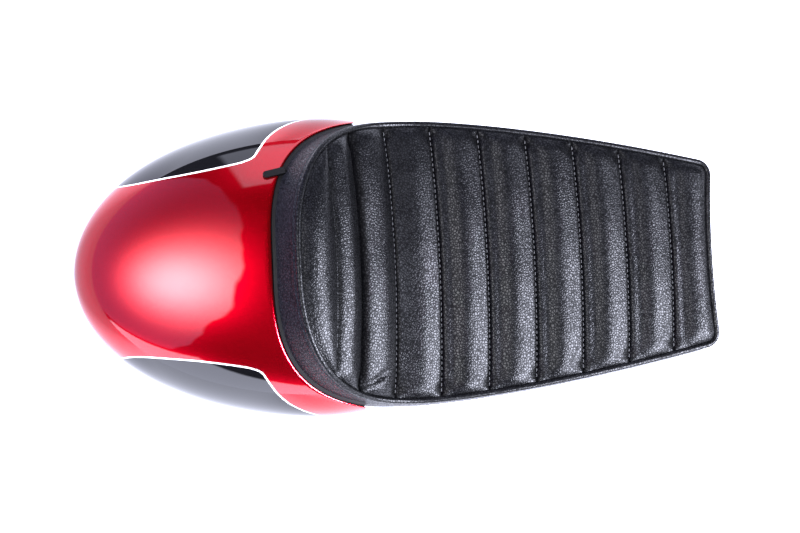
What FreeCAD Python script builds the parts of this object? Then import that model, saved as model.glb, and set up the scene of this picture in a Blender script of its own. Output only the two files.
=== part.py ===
# Single-rider motorcycle seat: a channelled cushion with a raised back stop, and a domed tail cowl
# that hugs it, both on one moulded pan. Millimetres, +X to the nose, +Y to the rider's left, +Z up.
# z = 0 is the sole of the rubber buffers, and the origin is the middle of the plan box.
import math
import os

import FreeCAD
import Part

V = FreeCAD.Vector

# Driving dimensions
seat_length = 660.0        # tail of the cowl to the nose of the cushion
buffer_height = 12.0       # rubber foot below the pan
pan_thickness = 4.0
cushion_width = 281.0      # over the side band, at the height of the welt
nose_width = 189.0         # across the two nose corners
nose_hollow = 6.0          # how far the front edge curves in
nose_corner = 15.0         # plan radius of the nose corners
seat_depth = 51.0          # pan to the bottom of a channel, on the flat of the seat
seat_crown = 8.0           # fall from the centre line to the welt on the flat
stop_crown = 22.0          # the same fall on the back stop
stop_rise = 82.0           # back stop above the flat of the seat
stop_setback = 200.0       # tail of the cowl to the crest of the back stop
stop_run = 160.0           # plan length of the slope up to that crest
widest_run = 140.0         # that crest to the widest line of the cushion
droop_run = 150.0          # stretch of the nose that droops
nose_droop = 7.0           # fall of the last stretch to the nose
rib_count = 10             # padded channels from crest to nose
crest_lens = 44.6          # length of cover of the channel behind the crease
crest_rib = 37.0           # the same of the channel ahead of the crease
nose_rib = 47.7            # the same of the last channel
rib_height = 7.5           # padding above the line between two seams
seam_bow = 3.0             # how far the middle of a seam lies ahead of its ends
side_draft = 0.09          # lean of the side wall, mm per mm
rear_draft = 0.39          # lean of the wall behind the back stop
nose_draft = 0.05
cover_gauge = 2.2          # side band, vinyl on a thin backing
panel_gauge = 3.0          # top panel where it is sewn through
welt_radius = 3.0
hem_width = 18.0           # cover turned in under the pan
tab_length = 20.0          # loose end of the edge trim, lying over the cowl lip
tab_width = 7.0
cowl_length = 243.0        # tail to the widest line of the dome
cowl_proud = 10.0          # cowl beyond the cushion wall on each side
cowl_rise = 100.0          # dome above its skirt
cowl_wall = 3.0
skirt_height = 4.0         # plain skirt of the cowl above the pan
skirt_drop = 3.0           # the same skirt below the pan
cowl_gap = 4.0             # cowl lip to the cushion wall, filled by the edge trim
lip_depth = 14.0           # lip turned down along the gap
flange_width = 22.0        # inward flange that sits on the pan
insert_span_x = 260.0      # frame bolts, along the bike
insert_span_y = 110.0      # frame bolts, across the bike
insert_shift = 20.0        # middle of that pattern ahead of the origin
insert_hole = 6.8          # core of an M8 thread
insert_width = 12.0
boss_width = 24.0
boss_height = 8.0
pan_rib_depth = 6.0
pan_rib_gauge = 3.0
pan_rib_inset = 65.0       # ends of the long ribs to the ends of the seat
buffer_width = 28.0
buffer_stem = 10.0
buffer_barb = 15.0
barb_height = 5.0
buffer_inset = 62.0        # front feet to the nose, rear feet to the crest
screw_shank = 5.0
screw_head = 9.5
screw_head_height = 2.8
screw_key = 3.5
washer_width = 13.0
washer_gauge = 1.2
clip_length = 16.0
clip_width = 14.0
clip_gauge = 1.4
clip_barrel = 9.0
clip_height = 5.5
screw_tip = 1.5            # screw beyond the clip nut

# Heights and stations that follow from them
clear = 0.2
pan_z = buffer_height
pan_top = pan_z + pan_thickness
hem_z = pan_z - cover_gauge
seat_z = pan_top + seat_depth
edge_z = seat_z - seat_crown
crest_z = seat_z + stop_rise
skirt_z = pan_top + skirt_height
skirt_foot = pan_z - skirt_drop
top_z = crest_z + 20.0
tail_x = -seat_length / 2.0
nose_x = seat_length / 2.0
crest_x = tail_x + stop_setback
stop_front_x = crest_x + stop_run
widest_x = crest_x + widest_run
droop_x = nose_x - droop_run
cowl_x = tail_x + cowl_length
cowl_width = cushion_width + 2.0 * cowl_proud
half_wide = cushion_width / 2.0
half_nose = nose_width / 2.0
reach_y = half_wide + 25.0
welt_inset = welt_radius / 2.0
welt_lift = welt_radius / 6.0
panel_inset = welt_inset + welt_radius + 0.4


def ease(t):
    t = max(0.0, min(1.0, t))
    return t * t * (3.0 - 2.0 * t)


def stop_share(x):
    return max(0.0, min(1.0, (stop_front_x - x) / stop_run))


def centre_z(x):
    # Bottom of the channels along the centre line: flat seat, S-shaped stop, drooping nose.
    droop = max(0.0, (x - droop_x) / (nose_x - droop_x))
    return seat_z + stop_rise * ease(stop_share(x) ** 1.45) - nose_droop * droop ** 2


def base_z(x, y):
    crown = seat_crown + (stop_crown - seat_crown) * ease(stop_share(x))
    return centre_z(x) - crown * (y / half_wide) ** 2


def rim_share(x, y):
    # 0 on the centre line of the cushion, 1 at its welt.
    if x < widest_x:
        along = (widest_x - x) / (widest_x - crest_x)
        return (along ** 2.6 + (abs(y) / half_wide) ** 2.6) ** (1.0 / 2.6)
    t = min(1.0, (x - widest_x) / (nose_x - widest_x))
    return abs(y) / (half_wide - (half_wide - half_nose) * t ** 1.5)


def outline_points(z, grow):
    # Plan of the drafted cushion wall at one height: side and back in one run from the left nose
    # corner to the right one, then a corner arc, the hollow front edge and the other corner arc.
    rear = crest_x - (crest_z - z) * rear_draft - grow
    wide = half_wide - (z - edge_z) * side_draft + grow
    nose = nose_x - (z - hem_z) * nose_draft + grow
    tip = half_nose - (z - edge_z) * side_draft + grow
    run = nose - widest_x
    slope = 1.5 * (wide - tip) / run
    into = V(1.0, -slope, 0.0).normalize()
    away = V(-2.0 * nose_hollow / tip, -1.0, 0.0).normalize()
    half = (into * -1.0).getAngle(away) / 2.0
    round_r = max(4.0, nose_corner + grow)
    back = round_r / math.tan(half)
    corner = V(nose, tip, 0.0)
    start = corner - into * back
    end = corner + away * back
    middle = (away - into).normalize()
    core = corner + middle * (round_r / math.sin(half))
    arc = []
    for share in (0.25, 0.5, 0.75):
        ray = ((start - core) * (1.0 - share) + (end - core) * share).normalize()
        arc.append(core + ray * round_r)
    left = [start]
    for t in (0.76, 0.56, 0.36, 0.17):
        left.append(V(widest_x + run * t, wide - (wide - tip) * t ** 1.5, 0.0))
    for degrees in (0, 14, 28, 42, 56, 70, 81):
        a = math.radians(degrees)
        x = widest_x - (widest_x - rear) * math.sin(a) ** (2.0 / 2.6)
        y = wide * math.cos(a) ** (2.0 / 2.6)
        left.append(V(x, y, 0.0))
    side = left + [V(rear, 0.0, 0.0)] + [V(p.x, -p.y, 0.0) for p in reversed(left)]
    front = V(nose - nose_hollow, 0.0, 0.0)
    return side, arc, end, front


def outline_wire(z, grow):
    side, arc, end, front = outline_points(z, grow)
    lift = V(0.0, 0.0, z)
    run = Part.BSplineCurve()
    run.interpolate(Points=[p + lift for p in side])
    flip = [V(p.x, -p.y, 0.0) for p in arc]
    end_flip = V(end.x, -end.y, 0.0)
    edges = [
        run.toShape(),
        Part.Arc(side[-1] + lift, flip[1] + lift, end_flip + lift).toShape(),
        Part.Arc(end_flip + lift, front + lift, end + lift).toShape(),
        Part.Arc(end + lift, arc[1] + lift, side[0] + lift).toShape(),
    ]
    return Part.Wire(edges)


def cushion_prism(grow, z_low=None, z_high=None):
    # Drafted solid inside the cushion wall, larger or smaller by `grow`.
    low = hem_z if z_low is None else z_low
    high = top_z if z_high is None else z_high
    return Part.makeLoft([outline_wire(low, grow), outline_wire(high, grow)], True, True)


def slab(x0, x1, z0, z1):
    return Part.makeBox(x1 - x0, 800.0, z1 - z0, V(x0, -400.0, z0))


def block_under(faces, x0, x1, floor_z):
    # Closed block below a patchwork of faces that spans x0..x1 and -reach_y..reach_y.
    rims = {"left": [], "right": [], "rear": [], "front": []}
    for face in faces:
        for edge in face.Edges:
            box = edge.BoundBox
            if box.YMin > reach_y - 0.01:
                rims["left"].append(edge)
            elif box.YMax < -reach_y + 0.01:
                rims["right"].append(edge)
            elif box.XMax < x0 + 0.01:
                rims["rear"].append(edge)
            elif box.XMin > x1 - 0.01:
                rims["front"].append(edge)
    feet = {
        "left": (V(x0, reach_y, floor_z), V(x1, reach_y, floor_z)),
        "right": (V(x0, -reach_y, floor_z), V(x1, -reach_y, floor_z)),
        "rear": (V(x0, -reach_y, floor_z), V(x0, reach_y, floor_z)),
        "front": (V(x1, -reach_y, floor_z), V(x1, reach_y, floor_z)),
    }
    walls = []
    for name, edges in rims.items():
        ends = []
        for foot in feet[name]:
            tops = [v.Point for e in edges for v in e.Vertexes]
            ends.append(min(tops, key=lambda p: (p.x - foot.x) ** 2 + (p.y - foot.y) ** 2))
        frame = [Part.makeLine(ends[0], feet[name][0])]
        frame.append(Part.makeLine(feet[name][0], feet[name][1]))
        frame.append(Part.makeLine(feet[name][1], ends[1]))
        loop = Part.Wire(Part.__sortEdges__(edges + frame))
        walls.append(Part.Face(loop))
    sole = Part.makePolygon([
        feet["right"][0], feet["right"][1], feet["left"][1], feet["left"][0], feet["right"][0],
    ])
    shell = Part.Shell(list(faces) + walls + [Part.Face(sole)])
    shell.sewShape()
    solid = Part.Solid(shell)
    if solid.Volume < 0:
        solid.reverse()
    return solid


def stations(count):
    return [reach_y * (2.0 * i / (count - 1) - 1.0) for i in range(count)]


def smooth_block(drop):
    # Everything below the smooth form of the seat, lowered by `drop`.
    x0 = tail_x + 60.0
    x1 = nose_x + 40.0
    rows = []
    for i in range(29):
        x = x0 + (x1 - x0) * i / 28.0
        rows.append([V(x, y, base_z(x, y) - drop) for y in stations(9)])
    surface = Part.BSplineSurface()
    surface.interpolate(rows)
    return block_under([surface.toShape()], x0, x1, 0.0)


def seam_lines():
    # Stations of the channel seams by length of cover along the centre line: the two channels of the
    # crest and the nose have lengths of their own, and the others share the rest equally.
    x_end = nose_x - nose_hollow - (edge_z - hem_z) * nose_draft
    steps = 1200
    xs = [crest_x + (x_end - crest_x) * i / steps for i in range(steps + 1)]
    run = [0.0]
    for a, b in zip(xs, xs[1:]):
        run.append(run[-1] + math.hypot(b - a, centre_z(b) - centre_z(a)))
    pitch = (run[-1] - crest_lens - crest_rib - nose_rib) / (rib_count - 3)
    wants = [0.0, crest_lens]
    for k in range(rib_count - 2):
        wants.append(crest_lens + crest_rib + k * pitch)
    wants.append(run[-1])
    seams = []
    for want in wants:
        i = min(range(steps + 1), key=lambda j: abs(run[j] - want))
        seams.append(xs[i])
    return seams


def seam_point(x, y):
    bow = seam_bow * (1.0 + 1.8 * ease(stop_share(x)))
    at = x + bow * (1.0 - (y / half_wide) ** 2)
    return V(at, y, base_z(at, y))


def ribbed_block():
    # The same form with its padded channels: one parabolic arch between each two seams, dying out
    # toward the welt. The surface has a crease at each seam and is cut there into one face a rib.
    x0 = tail_x + 60.0
    x1 = nose_x + 40.0
    ys = stations(15)
    params = [i / 14.0 for i in range(15)]
    seams = [[V(x0, y, base_z(x0, y)) for y in ys]]
    for x in seam_lines():
        seams.append([seam_point(x, y) for y in ys])
    seams.append([V(x1, y, base_z(x1, y)) for y in ys])
    rows = [seams[0]]
    for k in range(len(seams) - 1):
        bend = []
        padded = 0 < k < len(seams) - 2
        for a, b in zip(seams[k], seams[k + 1]):
            mid = (a + b) * 0.5
            if padded:
                along = (b - a).normalize()
                out = V(-along.z, 0.0, along.x).normalize()
                share = max(0.0, 1.0 - rim_share(mid.x, mid.y) ** 6)
                mid = mid + out * (2.0 * rib_height * share)
            bend.append(mid)
        rows.append(bend)
        rows.append(seams[k + 1])
    poles = []
    knots = None
    for row in rows:
        curve = Part.BSplineCurve()
        curve.interpolate(Points=row, Parameters=params)
        poles.append(curve.getPoles())
        knots = (curve.getMultiplicities(), curve.getKnots())
    count = len(seams) - 1
    u_mults = [3] + [2] * (count - 1) + [3]
    u_knots = [float(i) for i in range(count + 1)]
    faces = []
    for i in range(count):
        surface = Part.BSplineSurface()
        surface.buildFromPolesMultsKnots(
            poles, u_mults, knots[0], u_knots, knots[1], False, False, 2, 3)
        surface.segment(u_knots[i], u_knots[i + 1], 0.0, 1.0)
        faces.append(surface.toShape())
    return block_under(faces, x0, x1, 0.0)


def welt_loop(z):
    # The points of the outline in one closed run, just inside the wall.
    side, arc, end, front = outline_points(z, -welt_inset)
    edge = []
    for share in (-1.0, -0.75, -0.4, 0.0, 0.4, 0.75, 1.0):
        edge.append(V(front.x + (end.x - front.x) * share ** 2, end.y * share, 0.0))
    return side + [V(p.x, -p.y, 0.0) for p in arc] + edge + arc[::-1]


def welt_path():
    # Closed line of the welt, where the drafted wall meets the form of the seat.
    picks = []
    for i in range(len(welt_loop(edge_z))):
        z = edge_z
        for _ in range(40):
            p = welt_loop(z)[i]
            z = base_z(p.x, p.y) + welt_lift
        picks.append(V(p.x, p.y, z))
    path = Part.BSplineCurve()
    path.interpolate(Points=picks, PeriodicFlag=True)
    return path


def swept_ring(path, radius):
    at = path.value(path.FirstParameter)
    along = path.tangent(path.FirstParameter)[0]
    ring = Part.Wire([Part.Circle(at, along, radius).toShape()])
    sweep = Part.BRepOffsetAPI.MakePipeShell(Part.Wire([path.toShape()]))
    sweep.setBiNormalMode(V(0.0, 0.0, 1.0))
    sweep.add(ring)
    sweep.build()
    sweep.makeSolid()
    return sweep.shape()


def dome(inset):
    grow = FreeCAD.Matrix()
    grow.scale(cowl_length - inset, cowl_width / 2.0 - inset, cowl_rise - inset)
    ball = Part.makeSphere(1.0).transformGeometry(grow)
    ball.translate(V(cowl_x, 0.0, skirt_z))
    return ball.common(slab(tail_x - 50.0, cowl_x + 400.0, skirt_z, skirt_z + 400.0))


def oval(inset, z0, z1):
    ring = Part.Ellipse(V(cowl_x, 0.0, z0), cowl_length - inset, cowl_width / 2.0 - inset)
    face = Part.Face(Part.Wire([ring.toShape()]))
    return face.extrude(V(0.0, 0.0, z1 - z0))


def arm_end():
    # Where the side arms of the cowl have run down to a thin edge against the cushion.
    wide = half_wide - (skirt_z - edge_z) * side_draft + cowl_gap
    rear = crest_x - (crest_z - skirt_z) * rear_draft - cowl_gap
    x = cowl_x
    while x < widest_x:
        arm = cowl_width / 2.0 * math.sqrt(1.0 - ((x - cowl_x) / cowl_length) ** 2)
        share = max(0.0, (widest_x - x) / (widest_x - rear))
        if arm - wide * (1.0 - share ** 2.6) ** (1.0 / 2.6) < 1.1 * cowl_wall:
            break
        x += 0.5
    return x


def gap_point(degrees, z):
    # Middle of the gap between cushion and cowl, by angle round the back of the cushion.
    a = math.radians(degrees)
    rear = crest_x - (crest_z - z) * rear_draft - cowl_gap / 2.0
    wide = half_wide - (z - edge_z) * side_draft + cowl_gap / 2.0
    x = widest_x - (widest_x - rear) * math.sin(a) ** (2.0 / 2.6)
    return V(x, wide * math.cos(a) ** (2.0 / 2.6), z)


def dome_z(x, y):
    left = 1.0 - ((x - cowl_x) / cowl_length) ** 2 - (2.0 * y / cowl_width) ** 2
    return skirt_z + cowl_rise * math.sqrt(max(0.0, left))


def trim_tab():
    # Loose end of the edge trim: up out of the gap on the left, then flat over the lip.
    z = skirt_z + cowl_rise * 0.8
    for _ in range(30):
        root = gap_point(56.0, z)
        z = dome_z(root.x, root.y)
    foot = gap_point(56.0, z - 8.0)
    head = gap_point(56.0, z + 2.5)
    stalk = Part.makeCylinder(1.5, foot.distanceToPoint(head), foot, head - foot)
    mid = root + V(-tab_length * 0.5, -2.2, 0.0)
    up = V((mid.x - cowl_x) / cowl_length ** 2, mid.y / (cowl_width / 2.0) ** 2,
           (dome_z(mid.x, mid.y) - skirt_z) / cowl_rise ** 2).normalize()
    along = V(-1.0, -0.22, 0.0)
    along = (along - up * along.dot(up)).normalize()
    across = up.cross(along)
    lie = FreeCAD.Placement(
        V(mid.x, mid.y, dome_z(mid.x, mid.y)) + up * 0.4,
        FreeCAD.Rotation(along, across, up, "ZXY"))
    strip = Part.makeBox(tab_length - 2.0, tab_width, 2.4, V(-tab_length / 2.0, -tab_width / 2.0, 0.0))
    tip = Part.makeCylinder(tab_width / 2.0, 2.4, V(tab_length / 2.0 - 2.0, 0.0, 0.0))
    strip = strip.fuse(tip)
    strip.Placement = lie
    return stalk.fuse(strip)


def flange_spots():
    # Screw stations on the cowl flange, on both sides of the centre line.
    inset = cowl_wall + flange_width * 0.48
    spots = []
    for degrees in (18.0, 48.0, 77.0):
        a = math.radians(degrees)
        x = cowl_x - (cowl_length - inset) * math.cos(a)
        y = (cowl_width / 2.0 - inset) * math.sin(a)
        spots.append(V(x, y, 0.0))
        spots.append(V(x, -y, 0.0))
    return spots


def post(spot, radius, z0, z1):
    return Part.makeCylinder(radius, z1 - z0, V(spot.x, spot.y, z0))


def join(shapes):
    return shapes[0].multiFuse(shapes[1:]).removeSplitter()


parts = {}
arm_x = arm_end()
insert_spots = [
    V(sx * insert_span_x / 2.0 + insert_shift, sy * insert_span_y / 2.0, 0.0)
    for sx in (1, -1) for sy in (1, -1)
]
buffer_spots = []
buffer_rows = ((nose_x - buffer_inset, 0.62), (widest_x + 50.0, 0.70), (crest_x - buffer_inset, 0.60))
for x, share in buffer_rows:
    for sign in (1, -1):
        wide = half_wide if x < widest_x else half_nose + (half_wide - half_nose) * 0.35
        buffer_spots.append(V(x, sign * wide * share, 0.0))

# Cushion
form = smooth_block(panel_gauge)
ribbed = ribbed_block()
panel = ribbed.common(cushion_prism(-panel_inset)).cut(form)
parts["cover_top_panel"] = panel

parts["piping_welt"] = swept_ring(welt_path(), welt_radius)

band_top = smooth_block(welt_radius - welt_lift + clear)
wall = cushion_prism(0.0).cut(cushion_prism(-cover_gauge))
wall = wall.common(band_top).cut(slab(tail_x, arm_x + 0.5, 0.0, pan_top + clear))
hem = cushion_prism(-cover_gauge / 2.0, hem_z, pan_z - 0.1)
hem = hem.cut(cushion_prism(-hem_width, hem_z - 1.0, pan_z))
hem = hem.common(slab(arm_x + 0.5, nose_x + 50.0, 0.0, pan_z))
parts["cover_side_band"] = wall.fuse(hem)

foam = cushion_prism(-cover_gauge - clear, pan_top + clear, top_z).common(
    smooth_block(panel_gauge + clear))
for spot in insert_spots:
    foam = foam.cut(post(spot, insert_width * 0.75, pan_top, pan_top + boss_height + 6.0))
for spot in buffer_spots:
    foam = foam.cut(post(spot, buffer_barb * 0.6, pan_top, pan_top + barb_height + 2.0))
parts["foam_core"] = foam

# Cowl
mouth = cushion_prism(cowl_gap, 0.0, top_z)
outer = dome(0.0).fuse(oval(0.0, skirt_foot, skirt_z))
inner = dome(cowl_wall).fuse(oval(cowl_wall, skirt_foot, skirt_z))
lip = dome(0.0).cut(dome(lip_depth)).common(cushion_prism(cowl_gap + cowl_wall, 0.0, top_z))
flange = oval(cowl_wall * 0.5, pan_top, pan_top + cowl_wall).cut(
    oval(cowl_wall + flange_width, pan_top, pan_top + cowl_wall))
cowl = join([outer.cut(inner), lip, flange])
cowl = cowl.cut(mouth).cut(slab(arm_x, nose_x + 100.0, 0.0, 400.0))
for spot in flange_spots():
    cowl = cowl.cut(post(spot, screw_shank / 2.0 + 0.3, pan_top - 1.0, pan_top + cowl_wall + 1.0))
parts["tail_cowl"] = cowl

trim = cushion_prism(cowl_gap - clear).cut(cushion_prism(clear))
trim = trim.common(dome(2.0).cut(dome(lip_depth - 2.0)))
trim = trim.cut(slab(arm_x - 1.0, nose_x + 100.0, 0.0, 400.0))
parts["cowl_edge_trim"] = trim.fuse(trim_tab())

# Pan
front = cushion_prism(-cover_gauge - clear, pan_z, pan_top)
tail = oval(cowl_wall + clear, pan_z, pan_top).common(slab(tail_x - 10.0, arm_x, 0.0, 50.0))
pan = [front, tail]
rib_z = pan_z - pan_rib_depth
rib_tall = pan_rib_depth + pan_thickness / 2.0
rib_run = seat_length - 2.0 * pan_rib_inset
for y in (0.22, -0.22):
    corner = V(tail_x + pan_rib_inset, y * half_wide - pan_rib_gauge / 2.0, rib_z)
    pan.append(Part.makeBox(rib_run, pan_rib_gauge, rib_tall, corner))
for x in (crest_x - 110.0, crest_x - 20.0, widest_x, nose_x - 110.0):
    corner = V(x - pan_rib_gauge / 2.0, -0.62 * half_wide, rib_z)
    pan.append(Part.makeBox(pan_rib_gauge, 1.24 * half_wide, rib_tall, corner))
for spot in insert_spots:
    pan.append(post(spot, boss_width / 2.0, pan_z - boss_height, pan_top))
pan = join(pan)
for spot in insert_spots:
    pan = pan.cut(post(spot, insert_width / 2.0 + 0.05, 0.0, pan_top + 1.0))
for spot in buffer_spots:
    pan = pan.cut(post(spot, buffer_stem / 2.0 + clear, 0.0, pan_top + 1.0))
    pan = pan.cut(post(spot, buffer_width / 2.0 + 0.5, 0.0, pan_z))
for spot in flange_spots():
    pan = pan.cut(post(spot, screw_shank / 2.0 + 0.3, 0.0, pan_top + 1.0))
parts["base_pan"] = pan

# Hardware, one node for each kind
inserts = []
for spot in insert_spots:
    body = post(spot, insert_width / 2.0, pan_z - boss_height, pan_top)
    inserts.append(body.cut(post(spot, insert_hole / 2.0, 0.0, pan_top + 1.0)))
parts["mount_inserts"] = Part.makeCompound(inserts)

buffers = []
for spot in buffer_spots:
    foot = post(spot, buffer_width / 2.0, 0.0, pan_z)
    stem = post(spot, buffer_stem / 2.0, pan_z - 1.0, pan_top + clear)
    seat = V(spot.x, spot.y, pan_top + clear)
    barb = Part.makeCone(buffer_barb / 2.0, buffer_barb * 0.3, barb_height, seat)
    buffers.append(join([foot, stem, barb]))
parts["rubber_buffers"] = Part.makeCompound(buffers)

screws = []
washers = []
nuts = []
nut_z = pan_top + cowl_wall
for spot in flange_spots():
    bore = post(spot, screw_shank / 2.0 + 0.1, 0.0, 60.0)
    under = pan_z - washer_gauge
    washers.append(post(spot, washer_width / 2.0, under, pan_z).cut(bore))
    head = post(spot, screw_head / 2.0, under - screw_head_height, under)
    shank = post(spot, screw_shank / 2.0, under - 0.5, nut_z + clip_height + screw_tip)
    key = post(spot, screw_key / 2.0, 0.0, under - screw_head_height * 0.4)
    screws.append(head.fuse(shank).cut(key))
    corner = V(spot.x - clip_length / 2.0, spot.y - clip_width / 2.0, nut_z)
    plate = Part.makeBox(clip_length, clip_width, clip_gauge, corner)
    nuts.append(plate.fuse(post(spot, clip_barrel / 2.0, nut_z, nut_z + clip_height)).cut(bore))
parts["cowl_screws"] = Part.makeCompound(screws)
parts["cowl_washers"] = Part.makeCompound(washers)
parts["cowl_clip_nuts"] = Part.makeCompound(nuts)

os.makedirs("parts", exist_ok=True)
for name, shape in parts.items():
    shape.exportStep("parts/" + name + ".step")
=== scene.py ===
import math

import bpy
import numpy as np
from mathutils import Matrix, Vector


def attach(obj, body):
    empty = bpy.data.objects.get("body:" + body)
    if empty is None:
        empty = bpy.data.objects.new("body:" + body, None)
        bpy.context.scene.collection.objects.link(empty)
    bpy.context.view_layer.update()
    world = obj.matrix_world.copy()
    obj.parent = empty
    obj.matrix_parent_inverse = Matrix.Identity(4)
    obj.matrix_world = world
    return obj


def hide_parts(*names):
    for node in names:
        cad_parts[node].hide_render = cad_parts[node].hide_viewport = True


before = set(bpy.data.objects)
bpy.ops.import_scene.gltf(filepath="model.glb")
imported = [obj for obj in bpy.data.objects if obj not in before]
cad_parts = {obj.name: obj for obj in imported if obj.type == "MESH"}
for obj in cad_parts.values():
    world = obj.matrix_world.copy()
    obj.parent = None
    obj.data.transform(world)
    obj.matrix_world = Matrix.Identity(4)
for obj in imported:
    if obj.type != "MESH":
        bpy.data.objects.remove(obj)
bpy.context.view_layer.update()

# Form of the seat, in millimetres
# The same form as in the CAD source: +X to the nose, +Y to the rider's left, +Z up.
CREST_X, NOSE_X, WIDEST_X = -130.0, 330.0, 10.0
HEM_Z, EDGE_Z, CREST_Z, SEAT_Z = 9.8, 59.0, 149.0, 67.0
HALF_WIDE, HALF_NOSE, NOSE_HOLLOW = 140.5, 94.5, 6.0
ARM_X = -49.0
COWL_X, SKIRT_Z, COWL_FOOT = -87.0, 20.0, 9.0
COWL_A, COWL_B, COWL_C = 243.0, 150.5, 100.0
WELT_R = 3.0
RIBS = 10
STOP_START, STOP_RUN, STOP_RISE = 30.0, 160.0, 82.0
DROOP_START, DROOP_RUN, DROOP = 180.0, 150.0, 7.0
REAR_LEAN, SIDE_LEAN, NOSE_LEAN = 0.39, 0.09, 0.05
ROUND_POWER = 2.6
CORNER_R = 15.0
REAR_RIB, CREST_RIB, NOSE_RIB = 44.6, 37.0, 47.7
LIP_GAP, LIP_ROLL, LIP_DEEP, LIP_POINTS = 4.0, 6.0, 32.0, 321
TURNED_IN_Z = 16.6
PANEL_INSET, PANEL_LIFT = 3.4, 0.3
WELT_INSET, WELT_LIFT = 1.5, 0.5


def ease(t):
    t = np.clip(t, 0.0, 1.0)
    return t * t * (3.0 - 2.0 * t)


def stop_share(x):
    return np.clip((STOP_START - x) / STOP_RUN, 0.0, 1.0)


def centre_z(x):
    droop = np.maximum(0.0, (x - DROOP_START) / DROOP_RUN)
    return SEAT_Z + STOP_RISE * ease(stop_share(x) ** 1.45) - DROOP * droop ** 2


def base_z(x, y):
    crown = 8.0 + 14.0 * ease(stop_share(x))
    return centre_z(x) - crown * (y / HALF_WIDE) ** 2


def base_normal(x, y):
    h = 0.5
    gx = (base_z(x + h, y) - base_z(x - h, y)) / (2.0 * h)
    gy = (base_z(x, y + h) - base_z(x, y - h)) / (2.0 * h)
    n = np.stack([-gx, -gy, np.ones_like(gx)], -1)
    return n / np.linalg.norm(n, axis=-1, keepdims=True)


def bow(x):
    return 3.0 * (1.0 + 1.8 * ease(stop_share(x)))


def spread(points, count):
    """`count` points at equal lengths along a polyline."""
    step = np.linalg.norm(np.diff(points, axis=0), axis=1)
    run = np.concatenate([[0.0], np.cumsum(step)])
    want = np.linspace(0.0, run[-1], count)
    return np.stack([np.interp(want, run, points[:, i]) for i in range(points.shape[1])], 1)


# The outline of the cushion wall as one closed loop: front edge, corner arc, side and back of the
# left half, then the same mirrored. Each point keeps its place in the loop at every height.
def half_loop():
    angles = np.linspace(0.0, math.pi / 2.0, 4001)
    x = 150.0 * np.sin(angles) ** (2.0 / ROUND_POWER)
    y = HALF_WIDE * np.cos(angles) ** (2.0 / ROUND_POWER)
    run = np.concatenate([[0.0], np.cumsum(np.hypot(np.diff(x), np.diff(y)))])
    back = np.interp(np.linspace(0.0, run[-1], 91), run, angles)
    segment = [0] * 26 + [1] * 12 + [2] * 90 + [3] * 91
    part = np.concatenate([
        np.arange(26) / 26.0, np.arange(12) / 12.0, 1.0 - np.arange(90) / 90.0, back,
    ])
    return np.array(segment), part


SEG, PART = half_loop()
HALF = len(SEG)
SEG = np.concatenate([SEG, SEG[-2:0:-1]])
PART = np.concatenate([PART, PART[-2:0:-1]])
SIDE = np.ones(len(SEG))
SIDE[HALF:] = -1.0
LOOP = len(SEG)


def outline(z, grow):
    """Plan of the loop with one height and one offset for each of its points."""
    z = np.broadcast_to(np.asarray(z, float), (LOOP,))
    grow = np.broadcast_to(np.asarray(grow, float), (LOOP,))
    rear = CREST_X - (CREST_Z - z) * REAR_LEAN - grow
    wide = HALF_WIDE - (z - EDGE_Z) * SIDE_LEAN + grow
    nose = NOSE_X - (z - HEM_Z) * NOSE_LEAN + grow
    tip = HALF_NOSE - (z - EDGE_Z) * SIDE_LEAN + grow
    run = nose - WIDEST_X
    slope = 1.5 * (wide - tip) / run
    into = np.stack([np.ones(LOOP), -slope], 1)
    into /= np.linalg.norm(into, axis=1, keepdims=True)
    away = np.stack([-2.0 * NOSE_HOLLOW / tip, -np.ones(LOOP)], 1)
    away /= np.linalg.norm(away, axis=1, keepdims=True)
    half = np.arccos(np.clip(-(into * away).sum(1), -1.0, 1.0)) / 2.0
    round_r = np.maximum(4.0, CORNER_R + grow)
    corner = np.stack([nose, tip], 1)
    back = (round_r / np.tan(half))[:, None]
    start = corner - into * back
    end = corner + away * back
    middle = away - into
    middle /= np.linalg.norm(middle, axis=1, keepdims=True)
    core = corner + middle * (round_r / np.sin(half))[:, None]
    share = PART[:, None]
    ray = (end - core) * (1.0 - share) + (start - core) * share
    ray /= np.linalg.norm(ray, axis=1, keepdims=True)
    arc = core + ray * round_r[:, None]
    t = np.maximum(0.0, (start[:, 0] - WIDEST_X) / run * PART)
    sine = np.clip(np.sin(PART), 0.0, 1.0) ** (2.0 / ROUND_POWER)
    cosine = np.clip(np.cos(PART), 0.0, 1.0) ** (2.0 / ROUND_POWER)
    front_x = (nose - NOSE_HOLLOW) + (end[:, 0] - nose + NOSE_HOLLOW) * PART ** 2
    x = np.select([SEG == 0, SEG == 1, SEG == 2, SEG == 3], [
        front_x, arc[:, 0], WIDEST_X + run * t, WIDEST_X - (WIDEST_X - rear) * sine])
    y = np.select([SEG == 0, SEG == 1, SEG == 2, SEG == 3], [
        end[:, 1] * PART, arc[:, 1], wide - (wide - tip) * t ** 1.5, wide * cosine])
    return x, y * SIDE


def line_on_form(grow, lift):
    z = np.full(LOOP, EDGE_Z)
    for _ in range(60):
        x, y = outline(z, grow)
        z = base_z(x, y) + lift
    return np.stack([x, y, z], 1)


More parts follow.
